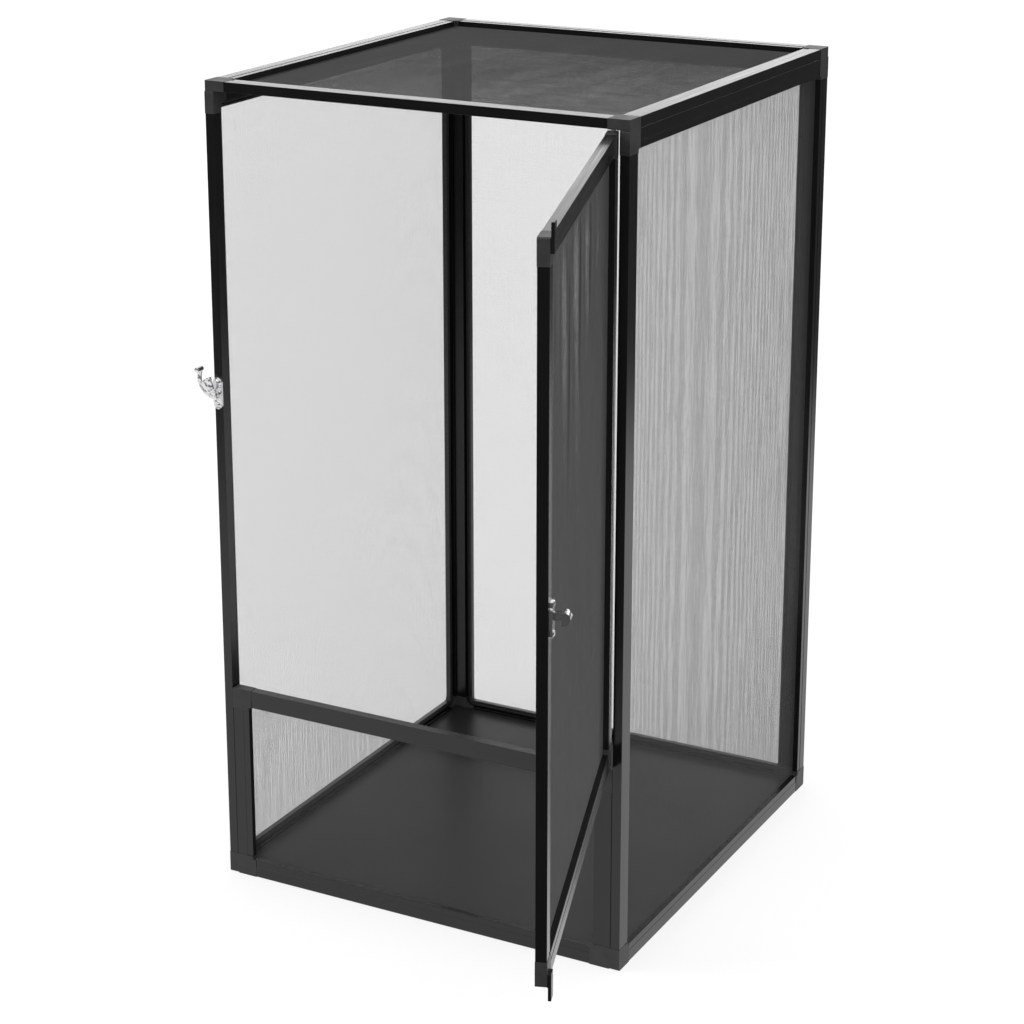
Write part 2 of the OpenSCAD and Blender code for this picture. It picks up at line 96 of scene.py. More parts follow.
class CageFrameSizes(bpy.types.PropertyGroup):
    """Sizes of the rails and corner blocks"""
    edge_set: length("Edge set-in", "From the blocks' outer edge to a rail's", 0.3 * MM)
    face_set: length("Face set-in", "From the blocks' faces to a rail's", 0.2 * MM)
    block: length("Block", "Side of a square corner block", 20 * MM)
    rail_w: length("Rail width", "Width of a rail, seen from outside", 16.6 * MM)
    tube_w: length("Tube width", "Width of the hollow part of a rail", 10.4 * MM)
    face_step: length("Face step", "How far the outer face steps back beside the tube", 0.3 * MM)
    groove_floor: length("Channel floor", "Metal under the cord's channel", 2 * MM)
    lip_w: length("Lip width", "Width of the lip under the screen", 2.4 * MM)
    lip_h: length("Lip height", "Height of the lip under the screen", 5.4 * MM)
    tube_round: length("Tube edge", "Radius of the tube's long edges", 0.8 * MM)
    edge_round: length("Fine edge", "Radius of the other edges", 0.15 * MM)
    block_round: length("Block edge", "Radius of a corner block's edges", 0.65 * MM)
    board_round: length("Floor edge", "Radius of the floor board's edges", 0.5 * MM)
    tab_round: length("Tab edge", "Radius of a stop tab's edges", 0.4 * MM)


class CageDoorSizes(bpy.types.PropertyGroup):
    """How the door stands"""
    door_open: bpy.props.FloatProperty(
        name="Door angle", description="Angle that the door stands open",
        default=math.radians(109), subtype="ANGLE", unit="ROTATION")
    free_gap: length("Free gap", "Gap between the closed door and the left side panel", 1.5 * MM)
    hinge_gap: length("Hinge gap", "Gap between the door and the right side panel", 2.2 * MM)
    pin_in: length("Pin from edge", "From the hinge axis to the door's hinged edge", 5.5 * MM)
    pin_back: length("Pin from face", "From the hinge axis to the door's outer face", 4 * MM)


class CageScreenSizes(bpy.types.PropertyGroup):
    """Sizes of the woven screens"""
    pitch: length("Pitch", "Distance between the threads along the roll", 0.98 * MM)
    fine_pitch: length("Fine pitch", "Distance between the threads across the roll", 0.8 * MM)
    thread: length("Thread", "Diameter of a thread", 0.162 * MM)
    uneven: length("Unevenness", "How far a thread strays from its even place", 0.11 * MM)
    slack: length("Slack", "How far the loosest screen bulges out of its plane", 0.9 * MM)
    sway: length("Sway", "How far the loosest screen's threads wander in its plane", 0.14 * MM)
    pleat: length("Pleat", "How far the door's screen stands out in soft pleats", 1.6 * MM)
    step: length("Thread step", "Length of a thread's straight pieces", 32 * MM)
    cord: length("Cord", "Diameter of the screen cord", 3.6 * MM)
    cord_bend: length("Cord bend", "Radius of the screen cord's bends", 5 * MM)
    cord_rib: length("Cord rib", "Distance from rib to rib on the screen cord", 1.4 * MM)


class CageColours(bpy.types.PropertyGroup):
    """Colours of the finishes"""
    rail: colour("Rails", "Black anodised aluminium", (0.0048, 0.0048, 0.005))
    block: colour("Blocks", "Dark grey moulded plastic", (0.044, 0.044, 0.045))
    thread: colour("Threads", "Black coated thread", (0.043, 0.043, 0.043))
    cord: colour("Cords", "Black soft plastic", (0.01, 0.01, 0.01))
    board: colour("Floor", "Dark grey board", (0.017, 0.017, 0.0178))
    tab: colour("Tabs", "Black moulded plastic", (0.006, 0.006, 0.006))
    chrome: colour("Chrome", "Polished plating", (0.8, 0.8, 0.81))
    steel: colour("Steel", "Turned steel", (0.5, 0.5, 0.5))
    nylon: colour("Nylon", "Plain nylon", (0.75, 0.75, 0.72))
    stage: colour("Studio", "Studio floor", (0.25, 0.25, 0.25))


# ---------------------------------------------------------------- panels

# Each panel's body, and the names of its rails: at the low and high end of its height, then at
# the near and far end of its width. A panel lies with its outer face at z = 0, its width along X
# and its height along Y.
RAILS = {
    "left": ("cage", ("bottom_rail", "top_rail", "front_stile", "rear_stile")),
    "right": ("cage", ("bottom_rail", "top_rail", "rear_stile", "front_stile")),
    "back": ("cage", ("bottom_rail", "top_rail", "left_stile", "right_stile")),
    "lower": ("cage", ("bottom_rail", "top_rail", "right_stile", "left_stile")),
    "lid": ("cage", ("rear_rail", "front_rail", "left_rail", "right_rail")),
    "door": ("door", ("bottom_rail", "top_rail", "hinge_stile", "free_stile")),
}


def turned(about_x, about_z):
    """A turn about X and then about Z, in degrees."""
    tilt = Matrix.Rotation(math.radians(about_x), 4, "X")
    return Matrix.Rotation(math.radians(about_z), 4, "Z") @ tilt


def moved(x, y, z):
    """A plain move."""
    return Matrix.Translation((x, y, z))


def panel_sizes():
    """Width and height of each panel."""
    door = bpy.context.scene.cage_door
    between = CAGE_W - 2 * FRAME_T
    return {
        "left": (CAGE_D, CAGE_H - FRAME_T),
        "right": (CAGE_D, CAGE_H - FRAME_T),
        "back": (between, CAGE_H - FRAME_T),
        "lower": (between, LOWER_H),
        "lid": (CAGE_W, CAGE_D),
        "door": (between - door.hinge_gap - door.free_gap, DOOR_HIGH - DOOR_LOW),
    }


def panel_places():
    """Where each panel stands."""
    door = bpy.context.scene.cage_door
    half_w = CAGE_W / 2
    half_d = CAGE_D / 2
    swing = Matrix.Rotation(door.door_open, 4, "Z")
    hung = moved(door.pin_in, -door.pin_back, 0) @ turned(90, 180)
    return {
        "left": moved(-half_w, -half_d, 0) @ turned(90, 90),
        "right": moved(half_w, half_d, 0) @ turned(90, -90),
        "back": moved(FRAME_T - half_w, half_d, 0) @ turned(90, 0),
        "lower": moved(half_w - FRAME_T, -half_d, 0) @ turned(90, 180),
        "lid": moved(-half_w, half_d, CAGE_H) @ turned(180, 0),
        "door": moved(HINGE.x, HINGE.y, DOOR_LOW) @ swing @ hung,
    }


# ---------------------------------------------------------------- making pieces

def piece(name, mesh, material, body, nodes):
    """Puts a finished mesh in the scene, on its body, in place of its CAD nodes."""
    made = bpy.data.objects.new(name, mesh)
    bpy.context.scene.collection.objects.link(made)
    made.data.materials.append(material)
    if any(face.use_smooth for face in mesh.polygons):
        flats = made.modifiers.new("flat_faces", "WEIGHTED_NORMAL")
        flats.keep_sharp = True
    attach(made, body)
    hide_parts(*nodes)
    return made


def finished(shape, name):
    """A mesh from a bmesh, smooth but for its sharper edges."""
    bmesh.ops.recalc_face_normals(shape, faces=shape.faces)
    for face in shape.faces:
        face.smooth = True
    mesh = bpy.data.meshes.new(name)
    shape.to_mesh(mesh)
    shape.free()
    mesh.set_sharp_from_angle(angle=SMOOTH_BELOW)
    return mesh


def round_edges(shape, edges, radius, segments=2, clamp=True):
    """Rounds edges, with a smaller radius where it's tight if clamp says so."""
    bmesh.ops.bevel(
        shape, geom=list(edges), offset=radius, offset_type="OFFSET", segments=segments,
        profile=0.5, affect="EDGES", clamp_overlap=clamp, material=-1)


def sharp_edges(shape, degrees):
    """Edges between faces that meet at more than an angle."""
    limit = math.radians(degrees)
    return [e for e in shape.edges if len(e.link_faces) == 2 and e.calc_face_angle(0) > limit]


def node_shape(node):
    """A bmesh copy of a CAD node, with its loose triangles joined into flat faces."""
    shape = bmesh.new()
    shape.from_mesh(frame["nodes"][node].data)
    bmesh.ops.remove_doubles(shape, verts=shape.verts, dist=CAD_CLOSE)
    bmesh.ops.dissolve_limit(
        shape, angle_limit=math.radians(0.5), verts=shape.verts, edges=shape.edges,
        use_dissolve_boundaries=False)
    return shape


def rounded_copy(node, ending, material, body, radius, degrees=30, segments=2, clamp=True):
    """A copy of a CAD node with its sharper edges rounded, in the node's place."""
    shape = node_shape(node)
    round_edges(shape, sharp_edges(shape, degrees), radius, segments, clamp)
    return piece(f"{node}_{ending}", finished(shape, node), material, body, [node])


# ---------------------------------------------------------------- finishes

def shader(name, base, roughness, metallic=0.0, specular=0.5):
    """A material of one even colour and roughness, and its shader, ready for patterns."""
    material = bpy.data.materials.new(name)
    material.use_nodes = True
    principled = material.node_tree.nodes["Principled BSDF"]
    principled.inputs["Base Color"].default_value = (*base, 1)
    principled.inputs["Roughness"].default_value = roughness
    principled.inputs["Metallic"].default_value = metallic
    principled.inputs["Specular IOR Level"].default_value = specular
    return material, principled


def noise(material, scale, detail, stretch=(1, 1, 1), source="Object"):
    """A noise texture on the piece, drawn out along an axis where stretch says so."""
    tree = material.node_tree
    coordinates = tree.nodes.new("ShaderNodeTexCoord")
    mapping = tree.nodes.new("ShaderNodeMapping")
    mapping.inputs["Scale"].default_value = stretch
    pattern = tree.nodes.new("ShaderNodeTexNoise")
    pattern.inputs["Scale"].default_value = scale
    pattern.inputs["Detail"].default_value = detail
    tree.links.new(coordinates.outputs[source], mapping.inputs["Vector"])
    tree.links.new(mapping.outputs["Vector"], pattern.inputs["Vector"])
    return pattern.outputs["Fac"]


def gloss(material, principled, pattern, low, high):
    """Lets the roughness run from low to high with a noise pattern."""
    spread = material.node_tree.nodes.new("ShaderNodeMapRange")
    least, most = NOISE_SPAN
    ends = (("From Min", least), ("From Max", most), ("To Min", low), ("To Max", high))
    for socket, value in ends:
        spread.inputs[socket].default_value = value
    material.node_tree.links.new(pattern, spread.inputs["Value"])
    material.node_tree.links.new(spread.outputs["Result"], principled.inputs["Roughness"])


def tint(material, principled, pattern, base, dark, light):
    """Lets the colour run between two shares of the base colour with a noise pattern."""
    ramp = material.node_tree.nodes.new("ShaderNodeValToRGB")
    for stop, position, share in zip(ramp.color_ramp.elements, NOISE_SPAN, (dark, light)):
        stop.position = position
        stop.color = (*(min(1.0, channel * share) for channel in base), 1)
    material.node_tree.links.new(pattern, ramp.inputs["Fac"])
    material.node_tree.links.new(ramp.outputs["Color"], principled.inputs["Base Color"])


def bump(material, principled, height, depth):
    """Gives the surface a fine relief."""
    relief = material.node_tree.nodes.new("ShaderNodeBump")
    relief.inputs["Distance"].default_value = depth
    material.node_tree.links.new(height, relief.inputs["Height"])
    material.node_tree.links.new(relief.outputs["Normal"], principled.inputs["Normal"])


def anodised(base):
    """Black anodised aluminium: fine drawn lines along the rail, with faint clouding."""
    material, principled = shader("black_anodised", base, 0.26)
    lines = noise(material, scale=900, detail=3, stretch=(0.01, 1, 1), source="UV")
    clouds = noise(material, scale=22, detail=3)
    tint(material, principled, clouds, base, dark=0.8, light=1.25)
    gloss(material, principled, lines, low=0.16, high=0.27)
    bump(material, principled, lines, depth=0.012 * MM)
    return material


def moulded(name, base, roughness, grain=2600, specular=0.5):
    """Moulded plastic: an even fine grain and slightly uneven gloss."""
    material, principled = shader(name, base, roughness, specular=specular)
    fine = noise(material, scale=grain, detail=2)
    clouds = noise(material, scale=70, detail=3)
    tint(material, principled, clouds, base, dark=0.85, light=1.15)
    gloss(material, principled, clouds, low=roughness - 0.06, high=roughness + 0.06)
    bump(material, principled, fine, depth=0.02 * MM)
    return material


def coated_board(base):
    """A dark board with a semi-gloss face, a little uneven."""
    material, principled = shader("dark_board", base, 0.36, specular=0.16)
    fine = noise(material, scale=700, detail=4)
    waves = noise(material, scale=9, detail=2)
    tint(material, principled, fine, base, dark=0.9, light=1.12)
    gloss(material, principled, waves, low=0.32, high=0.4)
    bump(material, principled, fine, depth=0.03 * MM)
    return material


def ribbed(base, rib):
    """Soft black plastic with fine ribs across the cord, from a UV map that follows it."""
    material, principled = shader("soft_cord", base, 0.5, specular=0.4)
    tree = material.node_tree
    clouds = noise(material, scale=60, detail=3)
    along = tree.nodes.new("ShaderNodeTexCoord")
    wave = tree.nodes.new("ShaderNodeTexWave")
    # At a scale of 1, the wave's bands lie pi / 10 apart
    wave.inputs["Scale"].default_value = math.pi / (10 * rib)
    wave.inputs["Distortion"].default_value = 0.2
    tree.links.new(along.outputs["UV"], wave.inputs["Vector"])
    tint(material, principled, clouds, base, dark=0.8, light=1.3)
    gloss(material, principled, clouds, low=0.44, high=0.58)
    bump(material, principled, wave.outputs["Fac"], depth=0.12 * MM)
    return material


def plated(name, base, roughness, wave, lean=0.0):
    """Plated or turned metal: faint marks, soft waves, and a face that leans a little."""
    material, principled = shader(name, base, roughness, metallic=1.0)
    tree = material.node_tree
    marks = noise(material, scale=450, detail=4)
    waves = noise(material, scale=240, detail=1)
    gloss(material, principled, marks, low=roughness * 0.7, high=roughness * 1.6)
    tint(material, principled, marks, base, dark=0.93, light=1)
    height = tree.nodes.new("ShaderNodeSeparateXYZ")
    tree.links.new(tree.nodes.new("ShaderNodeTexCoord").outputs["Object"], height.inputs[0])
    # The relief is the height on the piece times the lean, and the waves on top
    relief = tree.nodes.new("ShaderNodeMath")
    relief.operation = "MULTIPLY_ADD"
    relief.inputs[1].default_value = lean / wave
    tree.links.new(height.outputs["Z"], relief.inputs[0])
    tree.links.new(waves, relief.inputs[2])
    bump(material, principled, relief.outputs[0], depth=wave)
    return material


def finish(name):
    """The finish of that name, made once."""
    colours = bpy.context.scene.cage_colours
    makers = {
        "black_anodised": lambda: anodised(colours.rail),
        "grey_moulding": lambda: moulded("grey_moulding", colours.block, 0.42, specular=0.25),
        "black_moulding": lambda: moulded("black_moulding", colours.tab, 0.3),
        "screen_thread": lambda: moulded("screen_thread", colours.thread, 0.5, grain=4000),
        "soft_cord": lambda: ribbed(colours.cord, bpy.context.scene.cage_screen.cord_rib),
        "dark_board": lambda: coated_board(colours.board),
        "chrome_plate": lambda: plated("chrome_plate", colours.chrome, 0.08, 0.4 * MM, lean=0.07),
        "turned_steel": lambda: plated("turned_steel", colours.steel, 0.28, 0.01 * MM),
        "plain_nylon": lambda: moulded("plain_nylon", colours.nylon, 0.5),
    }
    return bpy.data.materials.get(name) or makers[name]()


# ---------------------------------------------------------------- operators

class CAGE_OT_rails(bpy.types.Operator):
    """Draw each panel's four rails from the aluminium section"""
    bl_idname = "cage.rails"
    bl_label = "Rails"

    def section(self, sizes):
        """The rail's outline, across the panel and up from the outer face."""
        tube = sizes.tube_w
        lip = sizes.rail_w - sizes.lip_w
        thick = FRAME_T - 2 * sizes.face_set
        return [
            (0, 0), (tube, 0), (tube, sizes.face_step), (sizes.rail_w, sizes.face_step),
            (sizes.rail_w, sizes.lip_h), (lip, sizes.lip_h), (lip, sizes.groove_floor),
            (tube, sizes.groove_floor), (tube, thick), (0, thick),
        ]

    def rail(self, name, run):
        """A rail along X, with a UV map that follows its length."""
        sizes = bpy.context.scene.cage_frame
        shape = bmesh.new()
        ring = [shape.verts.new((0, across, up)) for across, up in self.section(sizes)]
        face = shape.faces.new(ring)
        grown = bmesh.ops.extrude_face_region(shape, geom=[face])["geom"]
        bmesh.ops.translate(
            shape, verts=[v for v in grown if isinstance(v, bmesh.types.BMVert)], vec=(run, 0, 0))
        thick = FRAME_T - 2 * sizes.face_set
        corners = [Vector((across, up)) for across in (0, sizes.tube_w) for up in (0, thick)]
        along = [e for e in shape.edges if abs(e.verts[0].co.x - e.verts[1].co.x) > run / 2]
        tube_edges = [
            e for e in along
            if any((e.verts[0].co.yz - corner).length < CLOSE for corner in corners)]
        round_edges(shape, [e for e in along if e not in tube_edges], sizes.edge_round)
        round_edges(shape, [e for e in tube_edges if e.is_valid], sizes.tube_round, segments=4)
        uv = shape.loops.layers.uv.new("along_rail")
        for face in shape.faces:
            for loop in face.loops:
                loop[uv].uv = (loop.vert.co.x, loop.vert.co.y + loop.vert.co.z)
        return finished(shape, name)

    def execute(self, context):
        sizes = context.scene.cage_frame
        metal = finish("black_anodised")
        edge = sizes.edge_set
        face = sizes.face_set
        block = sizes.block
        for panel, (body, rails) in RAILS.items():
            width, height = panel_sizes()[panel]
            across = width - 2 * block
            up = height - 2 * block
            sides = (
                (across, moved(block, edge, face)),
                (across, moved(width - block, height - edge, face) @ turned(0, 180)),
                (up, moved(edge, height - block, face) @ turned(0, -90)),
                (up, moved(width - edge, block, face) @ turned(0, 90)),
            )
            for part, (run, place) in zip(rails, sides):
                mesh = self.rail(f"{panel}_{part}_drawn", run)
                mesh.transform(panel_places()[panel] @ place)
                piece(f"{panel}_{part}_drawn", mesh, metal, body, [f"{panel}_{part}"])
        return {"FINISHED"}


class CAGE_OT_blocks(bpy.types.Operator):
    """Round the edges of the moulded corner blocks"""
    bl_idname = "cage.blocks"
    bl_label = "Corner Blocks"

    def execute(self, context):
        sizes = context.scene.cage_frame
        plastic = finish("grey_moulding")
        for panel, (body, _) in RAILS.items():
            rounded_copy(
                f"{panel}_corner_blocks", "moulded", plastic, body, sizes.block_round)
        return {"FINISHED"}


class CAGE_OT_screens(bpy.types.Operator):
    """Weave each panel's screen from single threads that wander and bulge a little"""
    bl_idname = "cage.screens"
    bl_label = "Woven Screens"

    # How loose each screen is beside the loosest one
    looseness = {"left": 0.2, "right": 0.05, "back": 0.06, "lower": 0.15, "lid": 0.6, "door": 1.0}
    # The panels whose screens are cut with the roll lying across the panel
    cut_across = ("lid",)
    # Length of the pleated screen's straight pieces of thread, beside the others'
    pleated_step = 0.58
    # Heights of the two layers of threads above the lip, in thread diameters
    lower_layer = 0.5
    upper_layer = 1.2
    # How far one screen's waves are shifted from those of the screen before
    phase_step = 1.3
    # Lays threads along X down along Y
    swap = Matrix(((0, 1, 0, 0), (1, 0, 0, 0), (0, 0, 1, 0), (0, 0, 0, 1)))

    def repeated(self, shape, times, apart):
        """The shape so far, repeated side by side along Y."""
        bmesh.ops.spin(
            shape, geom=[*shape.verts, *shape.edges, *shape.faces], axis=(0, 0, 1), angle=0,
            dvec=(0, apart, 0), steps=times - 1, use_duplicate=True)

    def stray(self, shape, pitch, step, uneven):
        """Moves each thread, which lies along X, a little aside from step to step."""
        dice = random.Random(len(shape.verts))
        aside = defaultdict(lambda: dice.uniform(-uneven, uneven))
        for v in shape.verts:
            v.co.y += aside[int(v.co.y / pitch), round(v.co.x / step)]

    def threads(self, run, across, pitch, step, thick, uneven):
        """Parallel threads along X, side by side along Y, made as bands of threads."""
        band = round(math.sqrt(across / pitch))
        bands = round(across / pitch / band)
        pitch = across / (band * bands)
        shape = bmesh.new()
        bmesh.ops.create_cone(
            shape, cap_ends=True, segments=4, radius1=thick / 2, radius2=thick / 2, depth=run)
        long_edges = [e for e in shape.edges if abs(e.verts[0].co.z - e.verts[1].co.z) > run / 2]
        pieces = max(2, round(run / step))
        bmesh.ops.subdivide_edges(shape, edges=long_edges, cuts=pieces - 1, use_grid_fill=True)
        bmesh.ops.rotate(
            shape, verts=shape.verts, cent=(0, 0, 0), matrix=Matrix.Rotation(math.pi / 2, 3, "Y"))
        bmesh.ops.translate(shape, verts=shape.verts, vec=(run / 2, pitch / 2, 0))
        self.repeated(shape, band, pitch)
        self.repeated(shape, bands, pitch * band)
        self.stray(shape, pitch, run / pieces, uneven)
        return shape

    def wander(self, co, size, phase, slack, sway, pleat):
        """Where a point of the flat screen lies once the screen hangs a little slack.

        The waves' counts are uneven, so that no two of them line up with each other or the frame.
        """
        u = co.x / size[0]
        v = co.y / size[1]
        hold = max(0, math.sin(math.pi * u) * math.sin(math.pi * v))
        bulge = math.sin(2.3 * math.pi * u + phase) * math.cos(1.7 * math.pi * v + 2 * phase)
        ripple = math.sin(9 * math.pi * u + 3 * phase + 1.5 * math.sin(2 * math.pi * v))
        folds = math.sin(11 * math.pi * u + 1.2 * math.sin(4 * v) + phase)
        gathered = math.sin(math.pi * max(0, min(1, u))) * v ** 4 * (1 - v ** 12)
        drift_x = math.sin(3.1 * math.pi * v + phase)
        drift_x += 0.5 * math.sin(7.3 * math.pi * v + 4 * u + 2 * phase)
        drift_y = math.sin(2.7 * math.pi * u + 3 * phase)
        drift_y += 0.5 * math.sin(6.1 * math.pi * u + 5 * v)
        return Vector((
            co.x + sway * hold ** 0.5 * drift_x,
            co.y + sway * hold ** 0.5 * drift_y,
            co.z + slack * hold * (bulge + 0.25 * ripple) + pleat * gathered * folds,
        ))

    def execute(self, context):
        sizes = context.scene.cage_frame
        net = context.scene.cage_screen
        coat = finish("screen_thread")
        set_in = sizes.edge_set + sizes.rail_w - sizes.lip_w
        level = sizes.face_set + sizes.lip_h
        for number, (panel, (body, _)) in enumerate(RAILS.items()):
            loose = self.looseness[panel]
            pleat = net.pleat if panel == "door" else 0
            step = self.pleated_step * net.step if panel == "door" else net.step
            pitches = (net.fine_pitch, net.pitch)
            if panel in self.cut_across:
                pitches = (net.pitch, net.fine_pitch)
            width, height = (side - 2 * set_in for side in panel_sizes()[panel])
            weft = self.threads(width, height, pitches[0], step, net.thread, net.uneven)
            warp = self.threads(height, width, pitches[1], step, net.thread, net.uneven)
            bmesh.ops.translate(weft, verts=weft.verts, vec=(0, 0, net.thread * self.lower_layer))
            bmesh.ops.transform(
                warp, verts=warp.verts,
                matrix=moved(0, 0, net.thread * self.upper_layer) @ self.swap)
            bmesh.ops.reverse_faces(warp, faces=warp.faces)
            upright = bpy.data.meshes.new("upright_threads")
            warp.to_mesh(upright)
            warp.free()
            weft.from_mesh(upright)
            bpy.data.meshes.remove(upright)
            for v in weft.verts:
                v.co = self.wander(
                    v.co, (width, height), self.phase_step * number, net.slack * loose,
                    net.sway * loose, pleat)
            mesh = bpy.data.meshes.new(f"{panel}_screen_woven")
            weft.to_mesh(mesh)
            weft.free()
            mesh.transform(panel_places()[panel] @ moved(set_in, set_in, level))
            piece(f"{panel}_screen_woven", mesh, coat, body, [f"{panel}_screen"])
        return {"FINISHED"}


class CAGE_OT_cords(bpy.types.Operator):
    """Lay the ribbed cord that holds each screen in its channel"""
    bl_idname = "cage.cords"
    bl_label = "Screen Cords"

    # Faces round the cord, and steps round each of its bends
    sides = 12
    bend_steps = 6

    def loop(self, run_x, run_y, bend, thick):
        """A closed cord round a rectangle whose corner centres lie run_x and run_y apart."""
        shape = bmesh.new()
        bmesh.ops.create_circle(shape, cap_ends=False, segments=self.sides, radius=thick / 2)
        bmesh.ops.rotate(
            shape, verts=shape.verts, cent=(0, 0, 0), matrix=Matrix.Rotation(math.pi / 2, 3, "Y"))
        bmesh.ops.translate(shape, verts=shape.verts, vec=(0, -bend, 0))
        end = list(shape.edges)
        centre = Vector((0, 0, 0))
        for step in ((run_x, 0), (0, run_y), (-run_x, 0), (0, -run_y)):
            run = Vector((*step, 0))
            grown = bmesh.ops.extrude_edge_only(shape, edges=end)["geom"]
            verts = [v for v in grown if isinstance(v, bmesh.types.BMVert)]
            bmesh.ops.translate(shape, verts=verts, vec=run)
            centre += run
            end = [e for e in grown if isinstance(e, bmesh.types.BMEdge) and e.is_boundary]
            bent = bmesh.ops.spin(
                shape, geom=end, cent=centre, axis=(0, 0, 1), angle=math.pi / 2,
                steps=self.bend_steps)
            end = [e for e in bent["geom_last"] if isinstance(e, bmesh.types.BMEdge)]
        bmesh.ops.remove_doubles(shape, verts=shape.verts, dist=CLOSE)
        return shape

    def follow(self, shape, run_x, run_y, bend):
        """A UV map whose first value runs along the cord."""
        uv = shape.loops.layers.uv.new("along_cord")
        for face in shape.faces:
            for loop in face.loops:
                x, y, z = loop.vert.co
                core_x = min(max(x, 0), run_x)
                core_y = min(max(y, 0), run_y)
                turn = math.atan2(y - core_y, x - core_x)
                loop[uv].uv = (core_x + core_y + bend * turn, z)

    def execute(self, context):
        sizes = context.scene.cage_frame
        net = context.scene.cage_screen
        channel = sizes.edge_set + (sizes.tube_w + sizes.rail_w - sizes.lip_w) / 2
        level = sizes.face_set + sizes.groove_floor + net.cord / 2
        soft = finish("soft_cord")
        for panel, (body, _) in RAILS.items():
            run_x, run_y = (side - 2 * (channel + net.cord_bend) for side in panel_sizes()[panel])
            shape = self.loop(run_x, run_y, net.cord_bend, net.cord)
            self.follow(shape, run_x, run_y, net.cord_bend)
            mesh = finished(shape, f"{panel}_cord_ribbed")
            corner = channel + net.cord_bend
            mesh.transform(panel_places()[panel] @ moved(corner, corner, level))
            piece(f"{panel}_cord_ribbed", mesh, soft, body, [f"{panel}_spline"])
        return {"FINISHED"}


class CAGE_OT_small_parts(bpy.types.Operator):
    """Give the pins, dowels and washer their finishes"""
    bl_idname = "cage.small_parts"
    bl_label = "Pins and Dowels"

    finishes = {
        "plain_nylon": (
            "floor_dowels", "lid_dowels", "back_dowels", "lower_dowels", "hinge_washer"),
        "turned_steel": ("hinge_pins",),
    }

    def execute(self, context):
        for name, nodes in self.finishes.items():
            for node in nodes:
                materials = frame["nodes"][node].data.materials
                materials.clear()
                materials.append(finish(name))
        return {"FINISHED"}


class CAGE_OT_floor(bpy.types.Operator):
    """Make the floor board with softened edges"""
    bl_idname = "cage.floor"
    bl_label = "Floor Board"

    def execute(self, context):
        rounded_copy(
            "floor_board", "faced", finish("dark_board"), "cage",
            context.scene.cage_frame.board_round)
        return {"FINISHED"}


class CAGE_OT_stop_tabs(bpy.types.Operator):
    """Make the two moulded stop tabs on the door"""
    bl_idname = "cage.stop_tabs"
    bl_label = "Stop Tabs"

    def execute(self, context):
        rounded_copy(
            "door_stop_tabs", "moulded", finish("black_moulding"), "door",
            context.scene.cage_frame.tab_round)
        return {"FINISHED"}


